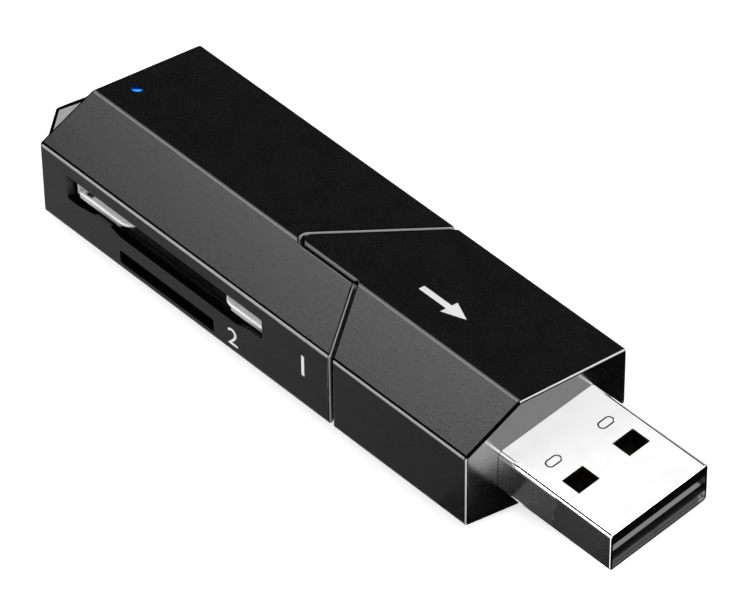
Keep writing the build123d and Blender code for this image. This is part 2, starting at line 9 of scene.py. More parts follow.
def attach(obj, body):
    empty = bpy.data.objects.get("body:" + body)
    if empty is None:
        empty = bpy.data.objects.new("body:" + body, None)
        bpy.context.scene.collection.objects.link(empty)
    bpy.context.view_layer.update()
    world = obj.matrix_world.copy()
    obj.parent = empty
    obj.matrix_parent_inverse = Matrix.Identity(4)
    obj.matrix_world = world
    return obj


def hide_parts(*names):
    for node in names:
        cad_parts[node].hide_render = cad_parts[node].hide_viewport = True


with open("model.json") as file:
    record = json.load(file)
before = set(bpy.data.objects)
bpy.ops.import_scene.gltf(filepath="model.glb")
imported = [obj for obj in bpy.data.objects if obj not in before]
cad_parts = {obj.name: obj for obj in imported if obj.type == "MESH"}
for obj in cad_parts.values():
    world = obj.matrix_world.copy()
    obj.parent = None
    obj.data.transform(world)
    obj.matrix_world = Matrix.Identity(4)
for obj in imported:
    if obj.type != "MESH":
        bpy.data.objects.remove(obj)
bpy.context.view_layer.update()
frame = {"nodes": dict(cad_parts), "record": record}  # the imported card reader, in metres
nodes = frame["nodes"]
scene = bpy.context.scene
mm = 0.001
print("frame loaded:", len(nodes), "nodes")

# the reader's own axes: X along the plug, Y to the back wall, Z square to its board
reader = {
    "plugReach": 13.5,  # all sizes here in mm
    "plugDrop": 0.2,
    "plugHeight": 4.5,
    "slotWall": -9.9,
    "wallUp": 4.3,
    "ridgeAcross": -3.3,
    "ridgeUp": 6.5,
    "lampAlong": -52.7,
    "lampAcross": 0.25,
}
mounts = {mount["name"]: mount for mount in frame["record"]["mounts"]}
slotAxis = Vector(mounts["large_card_slot"]["axis"])
lean = math.atan2(slotAxis.z, -slotAxis.y)  # the reader lies on a facet, so its board leans
turn = Matrix.Rotation(-lean, 4, "X")
plugTip = Vector((reader["plugReach"] * mm, 0, -reader["plugDrop"] * mm))
noseCentre = Vector(mounts["plug"]["pos_m"]) - turn @ plugTip
readerToRow = Matrix.Translation(noseCentre) @ turn
unturnRow = np.array(readerToRow.inverted())


def onReader(along, across, up):
    return readerToRow @ Vector((along * mm, across * mm, up * mm))


def facetUp(across):  # height of the wide upper facet
    return reader["ridgeUp"] - (across - reader["ridgeAcross"]) * math.tan(lean)


# material helpers
fineDetail = 3.0
broadDetail = 2.0


def startMaterial(name):
    material = bpy.data.materials.new(name)
    material.use_nodes = True
    tree = material.node_tree
    return material, tree, tree.nodes["Principled BSDF"]


def setInputs(tree, node, inputs):  # links a socket and sets a plain value
    for key, value in inputs.items():
        if isinstance(value, bpy.types.NodeSocket):
            tree.links.new(value, node.inputs[key])
        else:
            node.inputs[key].default_value = value


def addNode(tree, kind, inputs=None, **settings):
    node = tree.nodes.new(kind)
    for key, value in settings.items():
        setattr(node, key, value)
    setInputs(tree, node, inputs or {})
    return node


def objectPlace(tree):
    return addNode(tree, "ShaderNodeTexCoord").outputs["Object"]


def grey(tone):
    return (tone, tone, tone, 1.0)


def greys(tones):
    return [grey(tone) for tone in tones]


def blendTones(tree, factor, low, high):  # colour ramp between two colours
    ramp = addNode(tree, "ShaderNodeValToRGB", {"Fac": factor})
    ramp.color_ramp.elements[0].color = low
    ramp.color_ramp.elements[1].color = high
    return ramp.outputs["Color"]


def blendValues(tree, factor, low, high):
    inputs = {0: factor, 2: low, 3: high}
    return addNode(tree, "ShaderNodeMix", inputs, data_type="FLOAT").outputs[0]


def noise(tree, place, size, detail=fineDetail, stretch=(1, 1, 1)):  # size of one lump, in mm
    mapped = addNode(tree, "ShaderNodeMapping", {"Vector": place, "Scale": stretch})
    inputs = {"Vector": mapped.outputs["Vector"], "Scale": 1 / (size * mm), "Detail": detail}
    return addNode(tree, "ShaderNodeTexNoise", inputs).outputs["Fac"]


def addBump(tree, shader, height, strength, depth):  # depth in mm
    inputs = {"Height": height, "Strength": strength, "Distance": depth * mm}
    bump = addNode(tree, "ShaderNodeBump", inputs)
    tree.links.new(bump.outputs["Normal"], shader.inputs["Normal"])


def cloudedMaterial(name, lump, tones, rough):  # one noise moves both colour and gloss
    material, tree, shader = startMaterial(name)
    cloud = noise(tree, objectPlace(tree), lump)
    colour = blendTones(tree, cloud, *tones)
    gloss = blendValues(tree, cloud, *rough)
    setInputs(tree, shader, {"Base Color": colour, "Roughness": gloss})
    return material, tree, shader, cloud


# satin black housing with a fine moulded grain
housing = {
    "tones": (0.004, 0.008),
    "mottleSize": 2.5,  # sizes of lumps in mm
    "specular": 0.25,
    "grainSize": 0.14,
    "grainDepth": 0.05,
    "grainStrength": 0.2,
    "satin": (0.2, 0.3),
    "dullSpots": (0.55, 0.66),  # where the grain is rough, as limits of its noise
    "edgeTones": (0.01, 0.5),  # from a plain edge to the palest one
    "edgeWear": 0.6,
    "edgeGloss": (0.2, 0.3),
    "edgeSpecular": 0.2,
    "shadeTones": (0.001, 0.002),
    "shadeWear": 0.4,
    "shadeGloss": (0.55, 0.65),
    "shadeSpecular": 0.0,
    "noseTones": (0.002, 0.004),
    "noseHaze": 0.8,
    "noseGloss": (0.18, 0.24),
    "noseIor": 2.4,
}


def housingPlastic():
    material, tree, shader = startMaterial("housingPlastic")
    place = objectPlace(tree)
    grain = noise(tree, place, housing["grainSize"])
    mottle = noise(tree, place, housing["mottleSize"], broadDetail)
    low, high = housing["dullSpots"]
    limits = {"Value": grain, "From Min": low, "From Max": high}
    spots = addNode(tree, "ShaderNodeMapRange", limits).outputs["Result"]
    setInputs(tree, shader, {
        "Base Color": blendTones(tree, mottle, *greys(housing["tones"])),
        "Roughness": blendValues(tree, spots, *housing["satin"]),
        "Specular IOR Level": housing["specular"],
    })
    addBump(tree, shader, grain, housing["grainStrength"], housing["grainDepth"])
    return material


# rounded edges, painted paler as a painted highlight where they would catch light; their gloss varies
# at random
def housingEdgeHighlight():
    material, tree, shader = startMaterial("housingEdgeHighlight")
    wear = noise(tree, objectPlace(tree), housing["edgeWear"])
    # the attribute holds how pale each face is painted, a painted highlight
    shine = addNode(tree, "ShaderNodeAttribute", attribute_name="edgeHighlight").outputs["Fac"]
    setInputs(tree, shader, {
        "Base Color": blendTones(tree, shine, *greys(housing["edgeTones"])),
        "Roughness": blendValues(tree, wear, *housing["edgeGloss"]),
        "Specular IOR Level": housing["edgeSpecular"],
    })
    return material


# painted shade, dull and nearly black: rims of the tail's facets, mouths of the slots and edges that
# don't catch light
def housingShade():
    tones = greys(housing["shadeTones"])
    made = cloudedMaterial("housingShade", housing["shadeWear"], tones, housing["shadeGloss"])
    material, tree, shader = made[:3]
    setInputs(tree, shader, {"Specular IOR Level": housing["shadeSpecular"]})
    return material


# polished nose face round the plug
def housingGloss():
    tones = greys(housing["noseTones"])
    made = cloudedMaterial("housingGloss", housing["noseHaze"], tones, housing["noseGloss"])
    material, tree, shader = made[:3]
    setInputs(tree, shader, {"IOR": housing["noseIor"]})
    return material


# bright plated sheet: plug shell and crystal can
steel = {
    "tones": (0.78, 0.88),
    "cloudSize": 1.8,  # sizes of lumps and the bump's depth in mm
    "streakSize": 0.25,
    "streakStretch": (0.06, 1, 1),
    "bumpStrength": 0.05,
    "bumpDepth": 0.004,
    "bare": {"metal": 1.0, "rough": (0.12, 0.18)},
    "sheenPainted": {"metal": 0.0, "rough": (0.3, 0.4)},  # the plug's broad faces: an even diffuse white, a painted reflection of the bright room that plated steel mirrors
}


def platedSteel(name, finish):
    material, tree, shader = startMaterial(name)
    place = objectPlace(tree)
    streak = noise(tree, place, steel["streakSize"], stretch=steel["streakStretch"])
    cloud = noise(tree, place, steel["cloudSize"], broadDetail)
    setInputs(tree, shader, {
        "Metallic": finish["metal"],
        "Base Color": blendTones(tree, cloud, *greys(steel["tones"])),
        "Roughness": blendValues(tree, streak, *finish["rough"]),
    })
    addBump(tree, shader, streak, steel["bumpStrength"], steel["bumpDepth"])
    return material


# other finishes: low and high colour, lump size in mm, low and high roughness
finishes = {
    "insulator": {
        "tones": ((0.002, 0.002, 0.002, 1), (0.005, 0.005, 0.005, 1)),
        "lump": 0.3,
        "rough": (0.2, 0.26),
        "specular": 0.4,
    },
    # the contacts' gold is darkened and greyed: painted shade for pins deep in the plug's windows
    "contact": {
        "tones": ((0.3, 0.26, 0.18, 1), (0.4, 0.35, 0.26, 1)),
        "lump": 0.4,
        "rough": (0.18, 0.3),
        "metal": 1.0,
    },
    "tin_plate": {
        "tones": ((0.82, 0.82, 0.82, 1), (0.96, 0.96, 0.96, 1)),
        "lump": 0.25,
        "rough": (0.4, 0.5),
        "metal": 0.2,
    },
    "board": {
        "tones": ((0.005, 0.008, 0.007, 1), (0.01, 0.015, 0.013, 1)),
        "lump": 0.35,
        "rough": (0.4, 0.5),
    },
    "ceramic": {
        "tones": ((0.36, 0.24, 0.13, 1), (0.5, 0.36, 0.22, 1)),
        "lump": 0.1,
        "rough": (0.4, 0.6),
    },
    "lamp": {
        "tones": ((0.02, 0.12, 0.5, 1), (0.04, 0.22, 0.8, 1)),
        "lump": 0.3,
        "rough": (0.2, 0.3),
    },
}
usualFinish = {"metal": 0.0, "specular": 0.5, "bumpStrength": 0.1, "bumpDepth": 0.01}  # depth in mm


def plainFinish(slot):
    finish = {**usualFinish, **finishes[slot]}
    made = cloudedMaterial(slot + "Finish", finish["lump"], finish["tones"], finish["rough"])
    material, tree, shader, cloud = made
    setInputs(tree, shader, {
        "Metallic": finish["metal"],
        "Specular IOR Level": finish["specular"],
    })
    addBump(tree, shader, cloud, finish["bumpStrength"], finish["bumpDepth"])
    return material


# light pipe: deep blue, with the lit side of its end glowing
pipe = {
    "navy": (0.0, 0.004, 0.05, 1),
    "glow": (0.013, 0.262, 1.0, 1),
    "fade": 0.12,  # half the width of the change between them, in mm
    "litAlong": 1.53,  # the lit side points this far along the reader for 1 across it
    "strength": 1.0,
    "rough": 0.15,
}


def litPipe():
    material, tree, shader = startMaterial("litPipe")
    across = reader["lampAcross"]
    lampEnd = onReader(reader["lampAlong"], across, facetUp(across))
    litSide = turn @ Vector((pipe["litAlong"], -math.cos(lean), math.sin(lean)))
    fromEnd = {0: objectPlace(tree), 1: lampEnd}
    offset = addNode(tree, "ShaderNodeVectorMath", fromEnd, operation="SUBTRACT").outputs[0]
    sides = {0: offset, 1: litSide.normalized()}
    towards = addNode(tree, "ShaderNodeVectorMath", sides, operation="DOT_PRODUCT")
    fade = pipe["fade"] * mm
    limits = {"Value": towards.outputs["Value"], "From Min": -fade, "From Max": fade}
    lit = addNode(tree, "ShaderNodeMapRange", limits, interpolation_type="SMOOTHSTEP")
    colour = blendTones(tree, lit.outputs["Result"], pipe["navy"], pipe["glow"])
    setInputs(tree, shader, {
        "Base Color": colour,
        "Emission Color": colour,
        "Emission Strength": pipe["strength"],
        "Roughness": pipe["rough"],
    })
    return material


slotMaterials = {slot: plainFinish(slot) for slot in finishes}
housingFinishes = [housingPlastic(), housingEdgeHighlight(), housingShade(), housingGloss()]
slotMaterials["housing"] = housingFinishes[0]
slotMaterials["plated_steel"] = platedSteel("platedSteel", steel["bare"])
plugFinishes = [slotMaterials["plated_steel"], platedSteel("sheenPaintedSteel", steel["sheenPainted"])]
slotMaterials["light_pipe"] = litPipe()
print("materials made:", len(slotMaterials))

for part in frame["record"]["subparts"]:
    mesh = nodes[part["node"]].data
    mesh.materials.clear()
    mesh.materials.append(slotMaterials[part["material_slot"]])

# housings: welded copies of the moulded shells that know their rounded edges
shells = {
    "weldStep": 0.001,  # all sizes here in mm
    "onPlane": 0.02,  # a face this near a plane lies on it
    "curveAngle": 2.0,  # degrees between the normals at a rounded face's corners
    "lampClear": 0.9,
    "mouthClear": 1.2,
    "rimReach": 0.4,
    "bodyLength": 54.7,
    "wallEdge": 9.4,  # the long edges of both walls lie further out than this
    "ridgeEdge": 6.1,  # the ridges lie further up or down than this
    # how pale each kind of edge is painted: painted highlight
    "ridgeShine": 0.2,
    "wallShine": 0.6,
    "seamShine": 0.6,
    "noseShine": 1.0,
    "sillShine": 0.06,
    "ridgeBand": 0.2,  # the parts of the rounded edges painted pale as a highlight, as limits of their normals
    "wallBand": 0.75,
    "rimBand": (0.42, 0.88),
    "seamTilt": (35, 80),  # degrees away from the facets
    "tongueTip": 28.2,  # the seam stays dark behind this, round the tongue's tip
    "sillUp": 0.15,
    "rimShare": 0.75,  # of a tail facet's size, inside its rim of painted shade
    "alongEdge": 0.1,  # limits of a normal's parts: less is an edge along the reader
    "tilted": 0.3,  # more is a face tilted that way
    "facingIt": 0.9,  # more is a face that mostly points that way
    "square": 0.99,  # more is a face square to that way
}
plainFace, highlightFace, shadeFace, glossFace = range(len(housingFinishes))
slotRise = reader["ridgeUp"] - reader["wallUp"]
slotLean = math.atan2(slotRise, reader["ridgeAcross"] - reader["slotWall"])
slotFacet = (0, -math.sin(slotLean), math.cos(slotLean))
wideFacet = (0, math.sin(lean), math.cos(lean))
facets = [(x, y, side * z) for x, y, z in (slotFacet, wideFacet) for side in (1, -1)]
facets = np.array([(0, -1, 0), (0, 1, 0)] + facets)


def meshArray(items, key, width, kind):
    values = np.empty(len(items) * width, kind)
    items.foreach_get(key, values)
    return values.reshape(-1, width) if width > 1 else values


def weldedShell(nodeName):
    source = nodes[nodeName].data
    places = meshArray(source.vertices, "co", 3, np.float32)
    corners = meshArray(source.loops, "vertex_index", 1, np.int32)
    normals = meshArray(source.corner_normals, "vector", 3, np.float32)
    cells = np.round(places / (shells["weldStep"] * mm))
    first, shared = np.unique(cells, axis=0, return_index=True, return_inverse=True)[1:]
    triangles = shared.ravel()[corners].reshape(-1, 3)
    whole = (triangles != np.roll(triangles, 1, axis=1)).all(axis=1)
    return places[first], triangles[whole], normals.reshape(-1, 3, 3)[whole]


# each flat facet of the tail is split into its middle and a rim round it; the rim gets painted shade
def splitTail(places, triangles, normals):
    facing = normals.mean(axis=1) @ unturnRow[:3, :3].T
    along = (places[triangles].mean(axis=1) @ unturnRow[0, :3] + unturnRow[0, 3]) / mm
    flat = (normals == normals[:, :1]).all(axis=(1, 2))
    tail = flat & (along < -shells["bodyLength"] - shells["weldStep"]) & (facing[:, 0] < 0)
    facetOf = np.full(len(triangles), -1)
    ways = np.round(facing[tail], 3)
    facetOf[tail] = np.unique(ways, axis=0, return_inverse=True)[1].ravel()
    shadedRim = [False] * int((facetOf < 0).sum())
    newTriangles, newNormals = [triangles[facetOf < 0]], [normals[facetOf < 0]]
    for facet in range(facetOf.max() + 1):
        faces = triangles[facetOf == facet].tolist()
        edges = {(face[i], face[(i + 1) % 3]) for face in faces for i in range(3)}
        outline = [edge for edge in sorted(edges) if edge[::-1] not in edges]
        corners = [start for start, end in outline]
        middle = places[corners].mean(axis=0)
        inner = {corner: len(places) + i for i, corner in enumerate(corners)}
        hub = len(places) + len(corners)
        innerPlaces = middle + shells["rimShare"] * (places[corners] - middle)
        places = np.vstack([places, innerPlaces, middle])
        for start, end in outline:
            innerStart, innerEnd = inner[start], inner[end]
            rim = [(innerStart, start, end), (innerStart, end, innerEnd)]
            newTriangles.append([(hub, innerStart, innerEnd), *rim])
            shadedRim += [False, True, True]
            newNormals.append(np.repeat(normals[facetOf == facet][:1], 3, axis=0))
    return places, np.concatenate(newTriangles), np.concatenate(newNormals), np.array(shadedRim)


def buildShell(pieceName, places, triangles, normals):
    mesh = bpy.data.meshes.new(pieceName)
    mesh.from_pydata(places.tolist(), [], triangles.tolist())
    mesh.shade_smooth()
    mesh.normals_split_custom_set(normals.reshape(-1, 3))
    # a face whose corner normals differ is part of a rounded edge
    pairs = ((0, 1), (1, 2), (2, 0))
    spread = np.min([(normals[:, a] * normals[:, b]).sum(axis=1) for a, b in pairs], axis=0)
    curved = spread < math.cos(math.radians(shells["curveAngle"]))
    middles = (places[triangles].mean(axis=1) @ unturnRow[:3, :3].T + unturnRow[:3, 3]) / mm
    facing = normals.mean(axis=1) @ unturnRow[:3, :3].T
    return mesh, middles, facing, curved


def dressCopy(mesh, nodeName, materials, finish):
    for material in materials:
        mesh.materials.append(material)
    mesh.polygons.foreach_set("material_index", finish.astype(np.int32))
    piece = bpy.data.objects.new(mesh.name, mesh)
    scene.collection.objects.link(piece)
    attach(piece, "root")
    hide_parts(nodeName)
    counts = np.bincount(finish, minlength=len(materials)).tolist()
    print(mesh.name, "faces by finish", counts)


# walls of the two mouths get painted shade, but the sill in front of the flanges gets painted light,
# as pale as the slot wall
def mouthFaces(middles, facing):
    along, across, up = middles.T
    faceX, faceY, faceZ = facing.T
    depth = across - reader["slotWall"]
    inMouth = (depth > shells["onPlane"]) & (depth < shells["mouthClear"])
    inMouth &= np.abs(up) < reader["wallUp"] - shells["rimReach"]
    inMouth &= np.abs(faceY) < shells["tilted"]
    inMouth &= np.abs(faceX) + np.abs(faceZ) > shells["facingIt"]
    inMouth &= along < -shells["tongueTip"]
    sill = inMouth & (np.abs(up - shells["sillUp"]) < shells["onPlane"])
    endWall = inMouth & (faceX > shells["facingIt"]) & (up > 0)
    return inMouth, sill, endWall


def dressHousing(nodeName, pieceName, wholeSeam):
    places, triangles, normals, shadedRim = splitTail(*weldedShell(nodeName))
    mesh, middles, facing, curved = buildShell(pieceName, places, triangles, normals)
    along, across, up = middles.T
    faceX, faceY, faceZ = facing.T
    lampAcross = reader["lampAcross"]
    lampEnd = np.array((reader["lampAlong"], lampAcross, facetUp(lampAcross)))
    inLampHole = np.linalg.norm(middles - lampEnd, axis=1) < shells["lampClear"]
    inMouth, sill, endWall = mouthFaces(middles, facing)
    # rounded edges get a painted highlight: each kind is pale only over a part of its turn
    lengthwise = np.abs(faceX) < shells["alongEdge"]
    nose = along > -shells["rimReach"]
    ridge = lengthwise & (np.abs(up) > shells["ridgeEdge"])
    wall = lengthwise & (np.abs(across) > shells["wallEdge"])
    kinds = [sill, nose, ridge, wall]
    shines = [shells[key] for key in ("sillShine", "noseShine", "ridgeShine", "wallShine")]
    shine = np.select(kinds, shines, shells["seamShine"])
    rimLow, rimHigh = shells["rimBand"]
    rimPale = (faceX > rimLow) & (faceX < rimHigh)
    ridgePale = faceY < shells["ridgeBand"]
    wallPale = np.abs(faceY) > shells["wallBand"]
    tilt = np.degrees(np.arccos(np.clip((facing @ facets.T).max(axis=1), -1, 1)))
    leastTilt, mostTilt = shells["seamTilt"]
    seamPale = (tilt > leastTilt) & (tilt < mostTilt) & (along > -shells["tongueTip"])
    if not wholeSeam:
        seamPale &= (faceY < -shells["tilted"]) & lengthwise
    pale = np.select(kinds, [True, rimPale, ridgePale, wallPale], seamPale)
    # the rear rim and the nose's lower rim also get painted shade
    paintedShade = ~pale | (along < shells["rimReach"] - shells["bodyLength"])
    paintedShade |= nose & (across < reader["ridgeAcross"]) & (np.abs(faceZ) > shells["tilted"])
    paintedShade |= nose & (faceZ < -shells["tilted"])
    rounded = curved & ~inLampHole & ~inMouth
    polished = ~curved & nose & (faceX > shells["square"])
    # painted highlight for the sill, the end wall and the lit parts of rounded edges; painted shade
    # for the mouths, the tail's rims and the rest of the rounded edges
    choices = [sill | endWall, inMouth | shadedRim, rounded & paintedShade, rounded, polished]
    finish = np.select(choices, [highlightFace, shadeFace, shadeFace, highlightFace, glossFace], plainFace)
    # painted light fades down the end wall of the large mouth
    depths = (places[triangles] @ unturnRow[1, :3] + unturnRow[1, 3]) / mm - reader["slotWall"]
    fade = shells["sillShine"] * np.clip(1 - depths / shells["mouthClear"], 0, 1)
    shine = np.where(endWall[:, None], fade, shine[:, None]).astype(np.float32)
    attribute = mesh.attributes.new("edgeHighlight", "FLOAT", "CORNER")
    attribute.data.foreach_set("value", shine.ravel())
    dressCopy(mesh, nodeName, housingFinishes, finish)


dressHousing("rear_housing", "rearHousingShell", True)
dressHousing("front_housing", "frontHousingShell", False)  # its seam gets a painted highlight only beside the ridge


# plug: its broad outer faces get the even white steel, a painted reflection, and its sides the bare
# mirror steel
def dressPlug(nodeName, pieceName):
    mesh, middles, facing, curved = buildShell(pieceName, *weldedShell(nodeName))
    height = np.abs(middles[:, 2] + reader["plugDrop"])
    outside = height > reader["plugHeight"] / 2 - shells["onPlane"]
    broad = ~curved & outside & (np.abs(facing[:, 2]) > shells["square"])
    dressCopy(mesh, nodeName, plugFinishes, broad.astype(np.int32))


dressPlug("plug_shell", "plugShellSkin")

# dark rings in the grooves of the plug's two dimples: painted shade along the grooves
dimples = {
    "count": 2,
    "fromNose": 3.95,  # all sizes here in mm
    "pitch": 6.45,
    "width": 1.75,
    "length": 1.0,
    "groove": 0.16,
    "depth": 0.12,
    "lineShare": 0.7,  # of the groove's width
    "grooveShadeTones": (0.003, 0.008),
    "lineLump": 0.1,
    "lineRough": (0.5, 0.6),
    "lineSides": 8,
    "cornerSteps": 8,
}


# near-black rings: painted shade in the dimples' grooves
def grooveShadeLine():
    tones = greys(dimples["grooveShadeTones"])
    return cloudedMaterial("grooveShadeLine", dimples["lineLump"], tones, dimples["lineRough"])[0]


def dimpleTree(material):
    tree = bpy.data.node_groups.new("dimpleLines", "GeometryNodeTree")
    tree.interface.new_socket("Geometry", in_out="OUTPUT", socket_type="NodeSocketGeometry")
    kinds = {"Count": "NodeSocketInt"}
    kinds.update({name: "NodeSocketFloat" for name in ("Pitch", "Length", "Width", "Corner", "Line")})
    sockets = {
        name: tree.interface.new_socket(name, in_out="INPUT", socket_type=kind)
        for name, kind in kinds.items()
    }
    given = addNode(tree, "NodeGroupInput").outputs

    def nextNode(kind, output, inputs, **settings):
        return addNode(tree, "GeometryNode" + kind, inputs, **settings).outputs[output]

    size = {"Width": given["Length"], "Height": given["Width"]}
    outline = nextNode("CurvePrimitiveQuadrilateral", "Curve", size)
    corner = {"Count": dimples["cornerSteps"], "Radius": given["Corner"], "Limit Radius": True}
    rounded = nextNode("FilletCurve", "Curve", {"Curve": outline, **corner}, mode="POLY")
    across = {"Resolution": dimples["lineSides"], "Radius": given["Line"]}
    profile = nextNode("CurvePrimitiveCircle", "Curve", across)
    ring = nextNode("CurveToMesh", "Mesh", {"Curve": rounded, "Profile Curve": profile})
    step = addNode(tree, "ShaderNodeCombineXYZ", {"Y": given["Pitch"]}).outputs["Vector"]
    spacing = {"Count": given["Count"], "Offset": step}
    row = nextNode("MeshLine", "Mesh", spacing, mode="OFFSET")
    rings = nextNode("InstanceOnPoints", "Instances", {"Points": row, "Instance": ring})
    real = nextNode("RealizeInstances", "Geometry", {"Geometry": rings})
    shadeSet = nextNode("SetMaterial", "Geometry", {"Geometry": real, "Material": material})
    addNode(tree, "NodeGroupOutput", {"Geometry": shadeSet})
    return tree, sockets


def plainMesh(maker):  # what the object comes to, as a mesh of its own
    scene.collection.objects.link(maker)
    bpy.context.view_layer.update()
    graph = bpy.context.evaluated_depsgraph_get()
    return bpy.data.meshes.new_from_object(maker.evaluated_get(graph))


def addPiece(mesh, pieceName):
    piece = bpy.data.objects.new(pieceName, mesh)
    scene.collection.objects.link(piece)
    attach(piece, "root")


def addDimpleLines(pieceName):
    tree, sockets = dimpleTree(grooveShadeLine())
    maker = bpy.data.objects.new(pieceName + "Maker", bpy.data.meshes.new(pieceName + "Maker"))
    line = dimples["groove"] * dimples["lineShare"] / 2
    length, width = (dimples[key] - dimples["groove"] for key in ("length", "width"))
    values = {
        "Count": dimples["count"],
        "Pitch": dimples["pitch"] * mm,
        "Length": length * mm,
        "Width": width * mm,
        "Corner": length / 2 * mm,
        "Line": line * mm,
    }
    modifier = maker.modifiers.new("dimpleLines", "NODES")
    modifier.node_group = tree
    for name, value in values.items():
        modifier[sockets[name].identifier] = value
    mesh = plainMesh(maker)
    maker.modifiers.remove(modifier)
    bpy.data.objects.remove(maker)
    mesh.name = pieceName
    firstAcross = -dimples["pitch"] * (dimples["count"] - 1) / 2
    height = reader["plugHeight"] / 2 - reader["plugDrop"] - dimples["depth"] + line
    spot = Matrix.Translation(Vector((dimples["fromNose"], firstAcross, height)) * mm)
    mesh.transform(readerToRow @ spot)
    mesh.shade_smooth()
    addPiece(mesh, pieceName)
    print(pieceName, "faces", len(mesh.polygons))


addDimpleLines("dimpleLines")

# plain print: slot numbers on the wall and an arrow on the nose
prints = {
    "ink": 0.012,  # height of the print above the facet, in mm
    "tones": (0.62, 0.78),
    "lump": 0.12,
    "rough": (0.5, 0.65),
    "numbers": {
        "slotNumberOne": {"digit": "1", "along": -20.3, "up": -0.5, "height": 2.6},
        "slotNumberTwo": {"digit": "2", "along": -29.4, "up": -3.4, "height": 2.1},
    },
    "fontSize": 1.4,  # for a digit 1 high
    "arrow": {
        "along": -13.7,
        "across": 1.0,
        "length": 5.6,
        "head": 2.2,
        "halfWidth": 1.1,
        "shaft": 0.36,  # half its width
    },
}
inkMaterial = cloudedMaterial("printInk", prints["lump"], greys(prints["tones"]), prints["rough"])[0]


def finishPrint(mesh, pieceName, toRow):
    mesh.transform(toRow)
    mesh.materials.clear()
    mesh.materials.append(inkMaterial)
    addPiece(mesh, pieceName)


def addNumber(pieceName, number):
    curve = bpy.data.curves.new(pieceName + "Curve", "FONT")
    curve.body = number["digit"]
    curve.size = number["height"] * mm * prints["fontSize"]
    curve.extrude = prints["ink"] * mm
    curve.align_x = "CENTER"
    text = bpy.data.objects.new(pieceName + "Text", curve)
    mesh = plainMesh(text)
    bpy.data.objects.remove(text)
    standing = Matrix.Rotation(math.radians(90), 4, "X")
    spot = Matrix.Translation(Vector((number["along"], reader["slotWall"], number["up"])) * mm)
    finishPrint(mesh, pieceName, readerToRow @ spot @ standing)


def addArrow(pieceName, arrow, ink):
    tail, tip = -arrow["length"] / 2, arrow["length"] / 2
    neck, shaft, barb = tip - arrow["head"], arrow["shaft"], arrow["halfWidth"]
    outline = [(tail, -shaft), (neck, -shaft), (neck, -barb), (tip, 0)]
    outline += [(neck, barb), (neck, shaft), (tail, shaft)]
    count = len(outline)
    places = [(x * mm, y * mm, z * mm) for z in (-ink, ink) for x, y in outline]
    under, over = tuple(reversed(range(count))), tuple(range(count, 2 * count))
    ends = [(i, (i + 1) % count) for i in range(count)]
    sides = [(a, b, b + count, a + count) for a, b in ends]
    mesh = bpy.data.meshes.new(pieceName)
    mesh.from_pydata(places, [], [under, over, *sides])
    middle = Vector((arrow["along"], arrow["across"], facetUp(arrow["across"])))
    finishPrint(mesh, pieceName, readerToRow @ Matrix.Translation(middle * mm) @ turn)


for pieceName, number in prints["numbers"].items():
    addNumber(pieceName, number)
addArrow("plugArrow", prints["arrow"], prints["ink"])
print("prints placed:", len(prints["numbers"]), "numbers and an arrow")

# stage: pale floor, white background, soft boxes, and dark and pale cards that only reflections see
stage = {
    "floorSize": 3.0,  # all sizes here in metres
    "floorDrop": 0.00002,
    "floorTone": 0.8,
    "floorLift": 0.5,
    "ambient": 0.25,
    "boxDistance": 0.6,
    "boxes": {
        "topBox": {
            "towards": (-0.50, 0.29, 0.81),
            "size": (0.3, 0.24),
            "radiance": 8.6,
            "sheenOnly": True,
        },
        "frontBox": {"towards": (-0.50, -0.69, 0.52), "size": (0.4, 0.16), "radiance": 9.6},
        "sideBox": {"towards": (0.62, 0.74, 0.28), "size": (0.4, 0.2), "radiance": 7.0},
        "plugBox": {"towards": (0.42, -0.08, 0.90), "size": (0.4, 0.4), "radiance": 5.0},
    },
    # middle, size along the reader and across it, way it faces, tones at its tail and plug ends
    "cards": {
        "backCard": {
            "middle": (-0.16, 0.25, 0.13),
            "size": (0.9, 0.34),
            "facing": (0.5, -0.83, 0),
            "tones": (0, 0),
        },
        "overCard": {
            "middle": (-0.25, -0.147, 0.413),
            "size": (0.7, 0.47),
            "facing": (0.5, 0.3, -0.81),
            "tones": (0, 0),
        },
        "wallCard": {
            "middle": (-0.0917, -0.1047, 0),
            "size": (0.2165, 0.19),
            "facing": (0, 0, 1),
            "tones": (1.3, 0.24),
        },
        "plugCard": {
            "middle": (0.02675, -0.0597, 0),
            "size": (0.0205, 0.1),
            "facing": (0, 0, 1),
            "tones": (0.09, 0.005),
        },
        # one flag beside the plug, dark towards the plug's side and pale towards the nose
        "plugFlag": {
            "middle": (0.029501, -0.0133, 0.0048),
            "size": (0.0134, 0.0095),
            "facing": (1, 0, 0),
            "tones": (0.035, 0.035),
        },
        "noseFlag": {
            "middle": (0.0295, -0.0133, 0.0048),
            "size": (0.0134, 0.0095),
            "facing": (-1, 0, 0),
            "tones": (1.9, 1.9),
        },
        "underCard": {
            "middle": (0.0735, 0.0203, 0),
            "size": (0.1, 0.06),
            "facing": (0, 0, 1),
            "tones": (0, 0),
        },
    },
    "endOn": 0.99,  # a card that faces this much along the reader is endways
}


def seesBackground(tree):  # 1 for camera, glossy and transmission rays
    rays = addNode(tree, "ShaderNodeLightPath").outputs
    seen = {0: rays["Is Camera Ray"], 1: rays["Is Glossy Ray"]}
    either = addNode(tree, "ShaderNodeMath", seen, operation="MAXIMUM").outputs[0]
    through = {0: either, 1: rays["Is Transmission Ray"]}
    return addNode(tree, "ShaderNodeMath", through, operation="MAXIMUM").outputs[0]


def makeWorld():
    world = bpy.data.worlds.new("whiteRoom")
    scene.world = world
    world.use_nodes = True
    tree = world.node_tree
    strength = blendValues(tree, seesBackground(tree), stage["ambient"], 1.0)
    setInputs(tree, tree.nodes["Background"], {"Color": grey(1.0), "Strength": strength})


